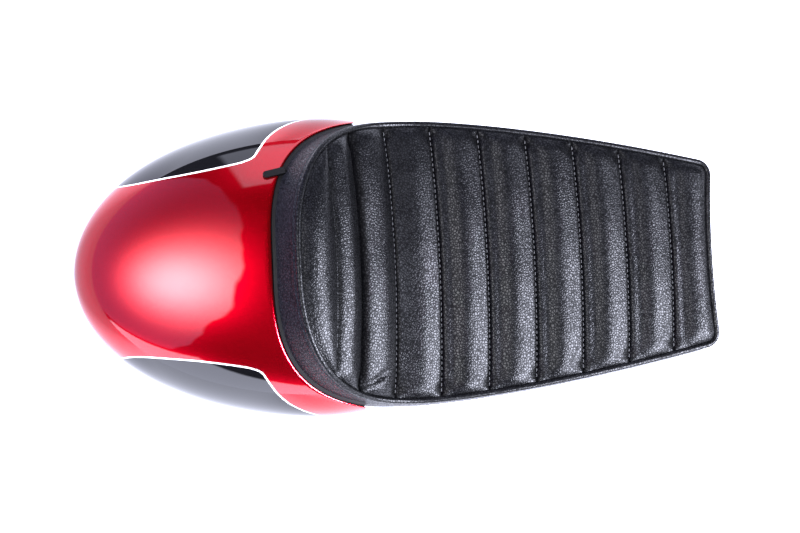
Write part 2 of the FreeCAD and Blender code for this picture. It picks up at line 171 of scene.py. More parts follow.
def seam_stations():
    x_end = NOSE_X - NOSE_HOLLOW - (EDGE_Z - HEM_Z) * NOSE_LEAN
    xs = np.linspace(CREST_X, x_end, 4001)
    run = np.concatenate([[0.0], np.cumsum(np.hypot(np.diff(xs), np.diff(centre_z(xs))))])
    pitch = (run[-1] - REAR_RIB - CREST_RIB - NOSE_RIB) / (RIBS - 3)
    start = REAR_RIB + CREST_RIB
    wants = [0.0, REAR_RIB] + [start + k * pitch for k in range(RIBS - 2)] + [run[-1]]
    stations = np.interp(wants, run, xs)
    # The rearmost seam lies a little further back here than in the solids.
    stations[1] -= 3.0
    return stations


SEAMS = seam_stations()


# Meshes
def add_mesh(name, verts, faces, smooth=True):
    mesh = bpy.data.meshes.new(name)
    mesh.from_pydata((np.asarray(verts, float) * 0.001).tolist(), [], faces)
    mesh.polygons.foreach_set("use_smooth", [smooth] * len(mesh.polygons))
    mesh.update()
    obj = bpy.data.objects.new(name, mesh)
    bpy.context.scene.collection.objects.link(obj)
    return obj


def grid_faces(rows, cols, wrap=False, flip=False):
    faces = []
    for i in range(rows - 1):
        for j in range(cols if wrap else cols - 1):
            a = i * cols + j
            b = i * cols + (j + 1) % cols
            quad = (a, b, b + cols, a + cols)
            faces.append(quad[::-1] if flip else quad)
    return faces


def tube_frame(points):
    """Outward and upward directions at each point of a closed line."""
    along = np.roll(points, -1, 0) - np.roll(points, 1, 0)
    along /= np.linalg.norm(along, axis=1, keepdims=True)
    out = np.cross(along, [0.0, 0.0, 1.0])
    out /= np.linalg.norm(out, axis=1, keepdims=True)
    return out, np.cross(out, along)


# Cushion cover: the top panel
EDGE = line_on_form(-PANEL_INSET, PANEL_LIFT)
EDGE_XY = EDGE[:, :2]


def left_edge():
    """Left half of the panel's edge from the middle of the back to the middle of the nose corner."""
    picks = np.arange(HALF - 1, 26 + 5, -1)
    return EDGE_XY[picks]


def rib_columns(count):
    t = np.linspace(-1.0, 1.0, count)
    return 0.45 * t + 0.55 * np.sin(t * math.pi / 2.0)


def rib_rows():
    near = np.array([0.0, 0.6, 1.3, 2.2, 3.4, 4.8, 6.4, 8.2, 10.2, 12.6, 15.4, 18.6, 22.0])
    s = near / 50.0
    return np.concatenate([s, [0.5], 1.0 - s[::-1]])


COLS = rib_columns(141)
ROWS = rib_rows()


def seam_curve(k, side_y):
    y = COLS * side_y
    return np.stack([SEAMS[k] + bow(SEAMS[k]) * (1.0 - (y / HALF_WIDE) ** 2), y], 1)


def pieces_of_edge():
    edge = left_edge()
    run = np.concatenate([[0.0], np.cumsum(np.linalg.norm(np.diff(edge, axis=0), axis=1))])
    ends = []
    for k in range(1, RIBS):
        miss = edge[:, 0] - SEAMS[k] - bow(SEAMS[k]) * (1.0 - (edge[:, 1] / HALF_WIDE) ** 2)
        i = int(np.argmax(miss > 0.0))
        share = miss[i - 1] / (miss[i - 1] - miss[i])
        ends.append(run[i - 1] + share * (run[i] - run[i - 1]))
    return edge, run, [ends[0]] + ends + [run[-1]]


def edge_at(edge, run, want):
    return np.stack([np.interp(want, run, edge[:, 0]), np.interp(want, run, edge[:, 1])], -1)


def coons(low, high, left, right):
    s = ROWS[:, None, None]
    w = ((COLS + 1.0) / 2.0)[None, :, None]
    patch = (1.0 - s) * low[None] + s * high[None]
    patch = patch + (1.0 - w) * right[:, None] + w * left[:, None]
    corners = (1.0 - s) * ((1.0 - w) * low[0] + w * low[-1])
    corners = corners + s * ((1.0 - w) * high[0] + w * high[-1])
    return patch - corners


def soften(values, width):
    size = int(4 * width)
    kernel = np.exp(-0.5 * (np.arange(-size, size + 1) / width) ** 2)
    kernel /= kernel.sum()
    padded = np.concatenate([
        2.0 * values[0] - values[size:0:-1], values, 2.0 * values[-1] - values[-2:-size - 2:-1]])
    return np.convolve(padded, kernel, "valid")


def profile(points):
    """Smooth height over the share of a channel, from a few (share, height) points."""
    grid = np.linspace(0.0, 1.0, 401)
    shares, heights = zip(*points)
    return grid, soften(np.interp(grid, shares, heights), 9.0)


PLAIN = profile([(0, 0), (.025, 1.3), (.06, 2.3), (.11, 2.85), (.16, 2.9), (.20, 2.75), (.24, 3.2),
                 (.31, 4.5), (.39, 5.8), (.45, 6.5), (.52, 6.8), (.60, 6.6), (.70, 5.8), (.80, 4.55),
                 (.88, 3.3), (.94, 2.15), (.975, 1.3), (1, 0)])
LENS = profile([(0, 0), (.08, 2.6), (.2, 5.2), (.35, 7.0), (.5, 7.6), (.64, 7.0), (.78, 5.0),
                (.9, 2.3), (1, 0.6)])
CREST = profile([(0, 0.6), (.05, 1.9), (.12, 3.3), (.20, 4.8), (.28, 6.2), (.36, 7.3), (.42, 7.8),
                 (.48, 7.8), (.56, 7.2), (.66, 5.9), (.78, 3.9), (.89, 1.9), (1, 0)])
SLOPE = profile([(0, 0), (.06, 2.2), (.14, 4.5), (.26, 6.8), (.40, 8.3), (.52, 8.7), (.64, 8.2),
                 (.76, 6.6), (.86, 4.5), (.94, 2.1), (1, 0)])
NOSE = profile([(0, 0), (.025, 1.3), (.06, 2.3), (.11, 2.85), (.16, 2.9), (.20, 2.75), (.24, 3.2),
                (.31, 4.5), (.39, 5.8), (.46, 6.7), (.55, 7.2), (.66, 7.3), (.78, 6.9), (.90, 6.1),
                (1, 5.2)])
SEAT = profile([(0, 0), (.05, 1.3), (.12, 2.6), (.22, 4.2), (.34, 5.7), (.46, 6.6), (.56, 6.9), (.66, 6.4),
                (.76, 5.4), (.86, 3.8), (.94, 2.1), (.975, 1.3), (1, 0)])
KINDS = [LENS, CREST, SLOPE, SEAT] + [PLAIN] * 5 + [NOSE]
GROOVE = [0.0, 1.2, 2.6] + [1.7] * 7 + [0.0]
GROOVE_WIDE = [1.0, 2.6, 2.0] + [1.3] * 7 + [1.0]
END_ROLL, LENS_ROLL = 16.0, 30.0
RIB_WIDE, REAR_RIB_WIDE = 49.0, 37.0
PIT_DEEP, PIT_WIDE, PIT_IN = 2.6, 6.0, 9.0
TUCK_X, TUCK_Y, TUCK_DEEP = -46.0, -114.0, 3.2
LOWEST_FOLD = -2.0


def panel_grid():
    """Rows of points over the whole panel, from the back to the nose, and the seam rows."""
    edge, run, ends = pieces_of_edge()
    curves = []
    for k in range(1, RIBS):
        curves.append(seam_curve(k, edge_at(edge, run, ends[k])[1]))
    back_y = COLS * curves[0][-1, 1]
    arc = edge_at(edge, run, np.linspace(0.0, ends[1], 400))
    rear = np.stack([np.interp(np.abs(back_y), arc[:, 1], arc[:, 0]), back_y], 1)
    corner = edge[-1]
    front = np.concatenate([EDGE_XY[:32], EDGE_XY[:0:-1][:31]])
    front = front[np.argsort(front[:, 1])]
    nose_y = COLS * corner[1]
    nose = np.stack([np.interp(nose_y, front[:, 1], front[:, 0]), nose_y], 1)
    curves = [rear] + curves + [nose]
    plan, shares, kinds = [], [], []
    for k in range(RIBS):
        left = edge_at(edge, run, ends[k] + (ends[k + 1] - ends[k]) * ROWS)
        right = left * np.array([1.0, -1.0])
        patch = coons(curves[k], curves[k + 1], left, right)
        keep = slice(0, None) if k == RIBS - 1 else slice(0, -1)
        plan.append(patch[keep])
        shares.append(ROWS[keep])
        kinds += [k] * len(ROWS[keep])
    return np.concatenate(plan), np.concatenate(shares), np.array(kinds)


def panel_points():
    plan, shares, kinds = panel_grid()
    x, y = plan[..., 0], plan[..., 1]
    flat = plan.reshape(-1, 2)
    gap = np.full(len(flat), 1e9)
    ring = np.concatenate([EDGE_XY, EDGE_XY[:1]])
    for a, b in zip(ring[:-1], ring[1:]):
        t = np.clip(((flat - a) @ (b - a)) / max(1e-9, (b - a) @ (b - a)), 0.0, 1.0)
        gap = np.minimum(gap, np.linalg.norm(flat - a - t[:, None] * (b - a), axis=1))
    gap = gap.reshape(x.shape)
    height = np.zeros_like(x)
    for i, (k, s) in enumerate(zip(kinds, shares)):
        height[i] = np.interp(s, *KINDS[k])
    # Slight unevenness of the stuffing, different in each channel.
    phase = kinds[:, None] * 1.9
    height *= 1.0 + 0.045 * np.sin(y / 31.0 + phase) + 0.03 * np.sin(y / 13.0 + 2.3 * phase)
    lens = np.array([LENS is KINDS[k] for k in kinds])[:, None]
    roll = np.clip(gap / np.where(lens, LENS_ROLL, END_ROLL), 0.0, 1.0)
    height *= (1.0 - (1.0 - roll) ** 2.4) ** 0.7
    # Pinched seams, with a pit where each runs into the welt. The crease values paint shade into the seams
    # and the pits.
    crease_shade = np.zeros_like(x)
    for k in range(1, RIBS):
        here = np.abs(np.where(kinds == k, shares, np.where(kinds == k - 1, 1.0 - shares, 1.0)))
        reach = (here * (REAR_RIB_WIDE if k in (1, 2) else RIB_WIDE))[:, None]
        fade = np.clip(gap / 6.0, 0.0, 1.0)
        height -= GROOVE[k] * np.exp(-(reach / GROOVE_WIDE[k]) ** 2) * fade
        shade_depth = 0.25 if k == 1 else 0.95
        crease_shade = np.maximum(crease_shade, shade_depth * np.exp(-(reach / (3.6 if k == 2 else 1.9)) ** 2))
        if k > 1:
            pit = np.exp(-(reach / PIT_WIDE) ** 2) * np.exp(-((gap - PIT_IN) / PIT_WIDE) ** 2)
            height -= PIT_DEEP * pit * np.clip(gap / 5.0, 0.0, 1.0)
            crease_shade = np.maximum(crease_shade, 0.6 * pit)
        if k == 2:
            crease_shade = np.maximum(crease_shade, np.exp(-(reach / 5.0) ** 2) * np.exp(-(gap / 10.0) ** 2))
    # A gathered tuck at the right end of the second channel.
    across = y - TUCK_Y - (x - TUCK_X + 1.0) * 0.6
    tuck = np.exp(-(across / 3.6) ** 2) * np.exp(-((x - TUCK_X) / 11.0) ** 2)
    height -= TUCK_DEEP * tuck * np.clip(gap / 8.0, 0.0, 1.0) * (kinds == 2)[:, None]
    # The deepest folds stay above the foam.
    height = np.maximum(height, LOWEST_FOLD)
    normal = base_normal(x, y)
    base = np.stack([x, y, base_z(x, y) + PANEL_LIFT], -1)
    return base + normal * height[..., None], crease_shade, kinds, shares


def build_panel():
    points, crease_shade, kinds, shares = panel_points()
    rows, cols = points.shape[:2]
    verts = points.reshape(-1, 3)
    faces = grid_faces(rows, cols)
    # The sewn edge turns down inside the welt.
    ring = list(range(cols))
    ring += [i * cols + cols - 1 for i in range(1, rows)]
    ring += [(rows - 1) * cols + j for j in range(cols - 2, -1, -1)]
    ring += [i * cols for i in range(rows - 2, 0, -1)]
    hem = verts[ring] - np.array([0.0, 0.0, 2.0])
    middle = np.array([90.0, 0.0, 0.0])
    side = hem - middle
    side[:, 2] = 0.0
    hem = hem + 1.2 * side / np.linalg.norm(side, axis=1, keepdims=True)
    first = len(verts)
    count = len(ring)
    for i in range(count):
        j = (i + 1) % count
        faces.append((ring[j], ring[i], first + i, first + j))
    obj = add_mesh("cushion_top", np.concatenate([verts, hem]), faces)
    # The crease values are painted shade for the vinyl; the turned-down hem is fully shaded.
    shade = obj.data.attributes.new("crease_shade", "FLOAT", "POINT")
    shade.data.foreach_set("value", np.concatenate([crease_shade.ravel(), np.ones(count)]).astype(np.float32))
    pins = [i * cols + j for i in range(rows) for j in range(cols)
            if shares[i] in (0.0, 1.0) or j < 2 or j > cols - 3 or i < 2 or i > rows - 3]
    return obj, points, kinds, shares, pins + list(range(first, first + count))


# The cloth run, in metres.
CLOTH_FRAMES = 20
TINY_SIDE = 0.0003
SWELL_SHARE, SWELL_CAP = 0.35, 0.0007


def puff(obj, pins, rows, cols):
    """Blow the sewn cover up a little with a cloth run, held at the seams and the edge."""
    mesh = obj.data
    rest = np.empty(len(mesh.vertices) * 3)
    mesh.vertices.foreach_get("co", rest)
    rest = rest.reshape(-1, 3)
    # The run uses a copy without the tiny faces at the two tips of the rear channel.
    quads = np.array([face.vertices[:] for face in mesh.polygons])
    sides = np.linalg.norm(rest[quads] - rest[np.roll(quads, -1, axis=1)], axis=2)
    sound = sides.min(axis=1) > TINY_SIDE
    held = sorted(set(pins) | set(quads[~sound].ravel().tolist()))
    sheet = add_mesh("cloth_run", rest * 1000.0, quads[sound].tolist())
    sheet.vertex_groups.new(name="sewn").add(held, 1.0, "REPLACE")
    cloth = sheet.modifiers.new("puff", "CLOTH")
    cloth.collision_settings.use_collision = False
    cloth.point_cache.frame_start = 1
    cloth.point_cache.frame_end = CLOTH_FRAMES
    run = cloth.settings
    run.quality = 5
    run.mass = 0.35
    run.air_damping = 4.0
    run.tension_stiffness = 40.0
    run.compression_stiffness = 40.0
    run.shear_stiffness = 15.0
    run.bending_stiffness = 8.0
    run.vertex_group_mass = "sewn"
    run.use_pressure = True
    run.uniform_pressure_force = 4.0
    run.effector_weights.gravity = 0.0
    scene = bpy.context.scene
    for number in range(1, CLOTH_FRAMES + 1):
        scene.frame_set(number)
    shown = sheet.evaluated_get(bpy.context.evaluated_depsgraph_get()).to_mesh()
    moved = np.empty(len(rest) * 3)
    shown.vertices.foreach_get("co", moved)
    bpy.data.objects.remove(sheet)
    scene.frame_set(1)
    # Only the slow swell of the padding is kept, square to the cover and capped.
    normal = np.empty(len(rest) * 3)
    mesh.vertices.foreach_get("normal", normal)
    normal = normal.reshape(-1, 3)
    free = np.ones(len(rest))
    free[held] = 0.0
    free = free[:rows * cols].reshape(rows, cols)
    swell = ((moved.reshape(-1, 3) - rest) * normal).sum(axis=1)[:rows * cols].reshape(rows, cols) * free
    for step in range(24):
        swell[:, 1:-1] = 0.25 * (swell[:, :-2] + 2.0 * swell[:, 1:-1] + swell[:, 2:])
        if step < 4:
            swell[1:-1] = 0.25 * (swell[:-2] + 2.0 * swell[1:-1] + swell[2:])
        swell *= free
    swell = SWELL_CAP * np.tanh(SWELL_SHARE * swell / SWELL_CAP)
    rest[:rows * cols] += normal[:rows * cols] * swell.reshape(-1, 1)
    mesh.vertices.foreach_set("co", rest.ravel())
    mesh.update()


# Cushion cover: welt and side band
WELT = line_on_form(-WELT_INSET, WELT_LIFT)


def build_welt():
    out, up = tube_frame(WELT)
    sides = 16
    rings = []
    for j in range(sides):
        a = 2.0 * math.pi * j / sides
        rings.append(WELT + WELT_R * (math.cos(a) * out + math.sin(a) * up))
    faces = grid_faces(sides, LOOP, wrap=True)
    last = (sides - 1) * LOOP
    for i in range(LOOP):
        n = (i + 1) % LOOP
        faces.append((last + i, last + n, n, i))
    return add_mesh("piping", np.concatenate(rings), faces)


def build_band():
    top = WELT[:, 2]
    behind = WELT[:, 0] < ARM_X + 12.0
    low = np.where(behind, TURNED_IN_Z, HEM_Z + 2.0)
    down = [0.6, 2.6, 3.4, 4.4, 5.4, 6.2, 7.0, 8.0, 9.4, 11.5, 14.5]
    rows = []
    for d in down:
        grow = -1.4 if d < 1.0 else 0.0
        grow = grow + 0.7 * math.exp(-((d - 6.2) / 1.5) ** 2)
        z = np.maximum(top - d, low)
        x, y = outline(z, grow)
        rows.append(np.stack([x, y, z], 1))
    for f in np.linspace(0.0, 1.0, 13)[1:]:
        z = (top - 14.5) * (1.0 - f) + low * f
        x, y = outline(z, 1.3 * math.sin(math.pi * f) ** 0.8)
        rows.append(np.stack([x, y, z], 1))
    under = []
    for grow, z in ((-0.3, 0.9), (-1.0, 0.35), (-2.2, 0.0), (-6.0, 0.0), (-10.0, 0.0),
                    (-14.0, 0.0), (-17.4, 0.0), (-18.0, 0.5), (-18.0, 2.0)):
        height = np.where(behind, TURNED_IN_Z, HEM_Z + z)
        x, y = outline(height, np.where(behind, 0.0, grow))
        under.append(np.stack([x, y, height], 1))
    verts = np.concatenate(rows + under)
    faces = grid_faces(len(rows), LOOP, wrap=True, flip=True)
    first = (len(rows) - 1) * LOOP
    ahead = ~behind
    for i in range(len(under)):
        for j in range(LOOP):
            n = (j + 1) % LOOP
            if ahead[j] and ahead[n]:
                a = first + i * LOOP
                faces.append((a + LOOP + j, a + LOOP + n, a + n, a + j))
    return add_mesh("cushion_band", verts, faces)


STITCH_PITCH, STITCH_LONG, STITCH_WIDE, STITCH_LIFT = 5.2, 3.7, 1.1, 0.75
STAPLES, STAPLE_LONG, STAPLE_WIDE, STAPLE_LIFT, STAPLE_INSET = 46, 10.5, 1.0, 0.25, 9.0


def capsule(at, along, up, length, width, lift):
    """One stitch: a short rounded thread that dips into the cover at both ends."""
    side = np.cross(up, along)
    verts, faces = [], []
    for i, t in enumerate((-0.5, -0.36, -0.12, 0.12, 0.36, 0.5)):
        r = width / 2.0 * (0.35 if abs(t) > 0.45 else 0.9 if abs(t) > 0.3 else 1.0)
        rise = lift - 3.2 * width * max(0.0, abs(t) - 0.3)
        for j in range(6):
            a = math.pi * j / 3.0
            centre = at + along * (length * t)
            verts.append(centre + up * (rise + r * math.sin(a)) + side * (r * math.cos(a)))
    for i in range(5):
        for j in range(6):
            a, b = i * 6 + j, i * 6 + (j + 1) % 6
            faces.append((a, b, b + 6, a + 6))
    faces.append((5, 4, 3, 2, 1, 0))
    faces.append((30, 31, 32, 33, 34, 35))
    return verts, faces


def build_stitches(points, kinds, shares):
    verts, faces = [], []
    for k in range(3, RIBS):
        row = int(np.argmax((kinds == k) & (shares == 0.0)))
        line = points[row]
        keep = np.abs(line[:, 1]) < np.abs(line[:, 1]).max() - 7.0
        line = line[keep]
        count = int(np.linalg.norm(np.diff(line, axis=0), axis=1).sum() / STITCH_PITCH)
        dots = spread(line, count)
        along = np.gradient(dots, axis=0)
        along /= np.linalg.norm(along, axis=1, keepdims=True)
        up = base_normal(dots[:, 0], dots[:, 1])
        for i in range(count):
            v, f = capsule(dots[i], along[i], up[i], STITCH_LONG, STITCH_WIDE, STITCH_LIFT)
            faces += [tuple(c + len(verts) for c in face) for face in f]
            verts += v
    return add_mesh("channel_stitching", np.array(verts), faces)


def build_staples():
    """Wire staples through the hem under the pan."""
    x, y = outline(np.full(LOOP, HEM_Z), -STAPLE_INSET)
    line = np.stack([x, y, np.full(LOOP, HEM_Z)], 1)
    first = int(np.argmax(line[:, 0] < ARM_X + 26.0))
    last = LOOP - first
    line = np.concatenate([line[last:], line[:first + 1]])
    dots = spread(line, STAPLES)
    along = np.gradient(dots, axis=0)
    along /= np.linalg.norm(along, axis=1, keepdims=True)
    below = np.array([0.0, 0.0, -1.0])
    verts, faces = [], []
    for at, way in zip(dots, along):
        v, f = capsule(at, way, below, STAPLE_LONG, STAPLE_WIDE, STAPLE_LIFT)
        faces += [tuple(c + len(verts) for c in face) for face in f]
        verts += v
    return add_mesh("hem_staples", np.array(verts), faces)


# Tail cowl
def dome_z(x, y):
    left = 1.0 - ((x - COWL_X) / COWL_A) ** 2 - (y / COWL_B) ** 2
    return SKIRT_Z + COWL_C * np.sqrt(np.maximum(left, 0.0))


STRIPE = np.array([
    (-318, 88), (-302, 85.3), (-287, 84), (-278, 83.5), (-266, 84.3), (-250, 86.3), (-223, 89.8),
    (-203, 93), (-180, 97.2), (-168, 100), (-158, 104.5), (-151, 113.5), (-142, 124.5),
    (-130, 134.5), (-116, 142), (-104, 146.4), (-97, 148.4), (-92, 149.6),
], float)


def smooth_line(points, per):
    out = []
    ext = np.concatenate([[2 * points[0] - points[1]], points, [2 * points[-1] - points[-2]]])
    for i in range(1, len(ext) - 2):
        p0, p1, p2, p3 = ext[i - 1:i + 3]
        for t in np.arange(per) / per:
            out.append(0.5 * (2 * p1 + (p2 - p0) * t + (2 * p0 - 5 * p1 + 4 * p2 - p3) * t ** 2
                              + (3 * p1 - p0 - 3 * p2 + p3) * t ** 3))
    out.append(points[-1])
    return np.array(out)


def stripe_gap(points):
    """Signed distance to the stripe's line on the cowl: positive toward the rim."""
    plan = smooth_line(STRIPE, 8)
    line = np.stack([plan[:, 0], plan[:, 1], dome_z(plan[:, 0], plan[:, 1])], 1)
    # Each end of the line on the arms drops down the skirt.
    line = np.concatenate([line, [(-90.5, 150.4, SKIRT_Z), (-89.0, 152.0, COWL_FOOT - 3.0)]])
    p = np.stack([points[:, 0], np.abs(points[:, 1]), points[:, 2]], 1)
    best = np.full(len(p), 1e9)
    sign = np.ones(len(p))
    for a, b in zip(line[:-1], line[1:]):
        d = b - a
        t = np.clip(((p - a) @ d) / max(1e-9, d @ d), 0.0, 1.0)
        off = p - a - t[:, None] * d
        dist = np.linalg.norm(off, axis=1)
        cross = d[0] * (p[:, 1] - a[1]) - d[1] * (p[:, 0] - a[0])
        near = dist < best
        best = np.where(near, dist, best)
        sign = np.where(near, np.where(cross > 0.0, 1.0, -1.0), sign)
    return best * sign


def cowl_lip():
    z = np.full(LOOP, 90.0)
    for _ in range(200):
        x, y = outline(z, LIP_GAP)
        z = 0.5 * z + 0.5 * np.maximum(dome_z(x, y), SKIRT_Z)
    points = np.stack([x, y, z], 1)
    picks = np.arange(HALF - 1 - 130, HALF + 130)
    points = points[picks]
    inside = points[:, 0] < ARM_X
    first = int(np.argmax(inside))
    last = len(inside) - 1 - int(np.argmax(inside[::-1]))
    ends = []
    for a, b in ((first, first - 1), (last, last + 1)):
        t = (ARM_X - points[a, 0]) / (points[b, 0] - points[a, 0])
        ends.append(points[a] + t * (points[b] - points[a]))
    line = np.concatenate([[ends[0]], points[first:last + 1], [ends[1]]])
    return spread(line, LIP_POINTS)


def wall_y(x, z, grow):
    rear = CREST_X - (CREST_Z - z) * REAR_LEAN - grow
    wide = HALF_WIDE - (z - EDGE_Z) * SIDE_LEAN + grow
    share = np.clip((WIDEST_X - x) / (WIDEST_X - rear), 0.0, 1.0)
    return wide * (1.0 - share ** ROUND_POWER) ** (1.0 / ROUND_POWER)


def build_cowl():
    lip = cowl_lip()
    cols = len(lip)
    scale = np.array([COWL_A, COWL_B, COWL_C])
    centre = np.array([COWL_X, 0.0, SKIRT_Z])
    top = (lip - centre) / scale
    top /= np.linalg.norm(top, axis=1, keepdims=True)
    turn = np.arctan2(top[:, 1], top[:, 0])
    rim = np.stack([np.cos(turn), np.sin(turn), np.zeros(cols)], 1)
    angle = np.arccos(np.clip((top * rim).sum(1), -1.0, 1.0))[:, None]

    def on_dome(share):
        a = np.sin((1.0 - share) * angle) / np.sin(angle)
        b = np.sin(share * angle) / np.sin(angle)
        return centre + scale * (a * top + b * rim)

    step = np.linalg.norm(on_dome(0.02) - on_dome(0.0), axis=1)[:, None] / 0.02
    start = LIP_ROLL / step
    begin = on_dome(start)
    down = np.zeros((cols, 3))
    down[:, 0] = np.where(np.cos(turn) < 0.0, -REAR_LEAN * np.abs(np.cos(turn)) ** 0.6, 0.0)
    down[:, 1] = SIDE_LEAN * np.sin(turn)
    down[:, 2] = -1.0
    deep = np.minimum(LIP_DEEP, lip[:, 2:] - COWL_FOOT - 0.4)
    rows = []
    for share in (1.0, 0.6, 0.3):
        rows.append(lip + down * deep * share)
    foot = lip + down * LIP_ROLL
    for t in (0.0, 0.17, 0.34, 0.5, 0.66, 0.83, 1.0):
        rows.append((1 - t) ** 2 * foot + 2 * t * (1 - t) * lip + t ** 2 * begin)
    for t in np.linspace(0.0, 1.0, 90)[1:]:
        rows.append(on_dome(start + (1.0 - start) * t))
    edge = rows[-1]
    for z in (17.0, 13.0, 10.4, 9.5):
        row = edge.copy()
        row[:, 2] = z
        rows.append(row)
    flat = (edge - centre) * np.array([1.0, 1.0, 0.0])
    flat /= np.linalg.norm(flat, axis=1, keepdims=True)
    for inset, z in ((0.35, 9.1), (1.0, 9.0), (2.2, 9.0), (3.0, 9.5), (3.0, 15.8)):
        row = edge - flat * inset
        row[:, 2] = z
        rows.append(row)
    verts = np.concatenate(rows)
    faces = grid_faces(len(rows), cols)
    # Ends of the arms, closed from the outer skin to the wall of the gap.
    closing = []
    for j in (0, cols - 1):
        skin = [3 + i for i in range(len(rows) - 3 - 3)]
        first = len(verts) + len(closing)
        for r in skin:
            p = rows[r][j]
            y = min(abs(p[1]), float(wall_y(p[0], p[2], LIP_GAP)))
            closing.append((p[0], math.copysign(y, p[1]), p[2]))
        for i in range(len(skin) - 1):
            quad = (skin[i] * cols + j, skin[i + 1] * cols + j, first + i + 1, first + i)
            faces.append(quad if j == 0 else quad[::-1])
    verts = np.concatenate([verts, np.array(closing)])
    obj = add_mesh("cowl_shell", verts, faces)
    gap = obj.data.attributes.new("stripe_gap", "FLOAT", "POINT")
    gap.data.foreach_set("value", stripe_gap(verts).astype(np.float32))
    return obj


# Materials
class Shader:
    """Short calls for building a node tree."""

    def __init__(self, name):
        self.material = bpy.data.materials.new(name)
        self.material.use_nodes = True
        self.tree = self.material.node_tree
        self.tree.nodes.clear()
        self.out = self.tree.nodes.new("ShaderNodeOutputMaterial")
        self.coords = None

    def node(self, kind, inputs=None, **settings):
        node = self.tree.nodes.new(kind)
        for key, value in settings.items():
            setattr(node, key, value)
        for key, value in (inputs or {}).items():
            if isinstance(value, bpy.types.NodeSocket):
                self.tree.links.new(value, node.inputs[key])
            else:
                node.inputs[key].default_value = value
        return node

    def place(self):
        if self.coords is None:
            self.coords = self.node("ShaderNodeTexCoord").outputs["Object"]
        return self.coords

    def noise(self, scale, detail=3.0, rough=0.55):
        return self.node("ShaderNodeTexNoise", {
            "Vector": self.place(), "Scale": scale, "Detail": detail, "Roughness": rough,
        }).outputs["Fac"]

    def ramp(self, fac, stops):
        node = self.node("ShaderNodeValToRGB", {"Fac": fac})
        ramp = node.color_ramp
        while len(ramp.elements) < len(stops):
            ramp.elements.new(0.5)
        for element, (at, colour) in zip(ramp.elements, stops):
            element.position = at
            element.color = (*colour, 1.0) if len(colour) == 3 else colour
        return node.outputs["Color"]

    def math(self, operation, a, b=0.0, clamp=False):
        node = self.node("ShaderNodeMath", operation=operation, use_clamp=clamp)
        for socket, value in zip(node.inputs, (a, b)):
            if isinstance(value, bpy.types.NodeSocket):
                self.tree.links.new(value, socket)
            else:
                socket.default_value = value
        return node.outputs["Value"]

    def range(self, value, a, b, c, d):
        return self.node("ShaderNodeMapRange", {
            "Value": value, "From Min": a, "From Max": b, "To Min": c, "To Max": d,
        }).outputs["Result"]

    def mix(self, fac, a, b):
        node = self.node("ShaderNodeMix", data_type="RGBA")
        for socket, value in ((node.inputs[0], fac), (node.inputs[6], a), (node.inputs[7], b)):
            if isinstance(value, bpy.types.NodeSocket):
                self.tree.links.new(value, socket)
            else:
                socket.default_value = value
        return node.outputs[2]

    def bump(self, height, distance, strength=1.0, under=None):
        inputs = {"Height": height, "Distance": distance, "Strength": strength}
        if under is not None:
            inputs["Normal"] = under
        return self.node("ShaderNodeBump", inputs).outputs["Normal"]

    def surface(self, inputs):
        skin = self.node("ShaderNodeBsdfPrincipled", inputs)
        self.tree.links.new(skin.outputs["BSDF"], self.out.inputs["Surface"])
        return self.material


def vinyl(name, grain=1.0, sheen=1.0, base=1.0):
    s = Shader(name)
    warp = s.node("ShaderNodeTexNoise", {"Vector": s.place(), "Scale": 260.0, "Detail": 2.0})
    shift = s.node("ShaderNodeVectorMath", {
        0: warp.outputs["Color"], 1: (0.5, 0.5, 0.5)}, operation="SUBTRACT")
    small = s.node("ShaderNodeVectorMath", {0: shift.outputs[0], "Scale": 0.0016}, operation="SCALE")
    moved = s.node("ShaderNodeVectorMath", {0: s.place(), 1: small.outputs[0]}, operation="ADD")
    cells = s.node("ShaderNodeTexVoronoi", {"Vector": moved.outputs[0], "Scale": 380.0, "Randomness": 0.9},
                   feature="DISTANCE_TO_EDGE")
    pebble = s.node("ShaderNodeMapRange", {
        "Value": cells.outputs["Distance"], "From Min": 0.0, "From Max": 0.34,
    }, interpolation_type="SMOOTHSTEP").outputs["Result"]
    fine = s.noise(2600.0, 2.0)
    height = s.math("ADD", pebble, s.math("MULTIPLY", fine, 0.12))
    broad = s.noise(28.0, 3.0)
    # The crease attribute paints shade: seams, pits and hem are darker, rougher and less shiny.
    crease_shade = s.node("ShaderNodeAttribute", attribute_name="crease_shade").outputs["Fac"]
    tone = s.math("ADD", s.math("MULTIPLY", pebble, 0.75), s.math("MULTIPLY", broad, 0.25))
    tone = s.math("SUBTRACT", tone, crease_shade, clamp=True)
    stops = (
        (0.0, (0.0010, 0.0010, 0.0014)),
        (0.45, (0.0036, 0.0037, 0.0050)),
        (1.0, (0.0064, 0.0066, 0.0088)),
    )
    # `base` above one gives a lighter copy of the vinyl, as painted light.
    colour = s.ramp(tone, [(at, tuple(base * c for c in rgb)) for at, rgb in stops])
    rough = s.math("ADD", s.range(pebble, 0.0, 1.0, 0.40, 0.27), s.range(broad, 0.3, 0.7, -0.03, 0.04))
    rough = s.math("ADD", rough, s.math("MULTIPLY", crease_shade, 0.4), clamp=True)
    shine = s.range(pebble, 0.0, 0.7, 0.05 * sheen, 0.24 * sheen)
    shine = s.math("MULTIPLY", shine, s.math("SUBTRACT", 1.0, crease_shade))
    normal = s.bump(height, 0.000115 * grain, 1.0)
    return s.surface({
        "Base Color": colour, "Roughness": rough, "Normal": normal, "Specular IOR Level": shine})


def thread(name):
    s = Shader(name)
    twist = s.node("ShaderNodeTexWave", {"Vector": s.place(), "Scale": 900.0, "Distortion": 1.5},
                   bands_direction="DIAGONAL")
    colour = s.ramp(twist.outputs["Fac"], [(0.0, (0.02, 0.02, 0.023)), (1.0, (0.085, 0.085, 0.095))])
    return s.surface({"Base Color": colour, "Roughness": 0.6,
                      "Normal": s.bump(twist.outputs["Fac"], 0.0002, 0.6)})


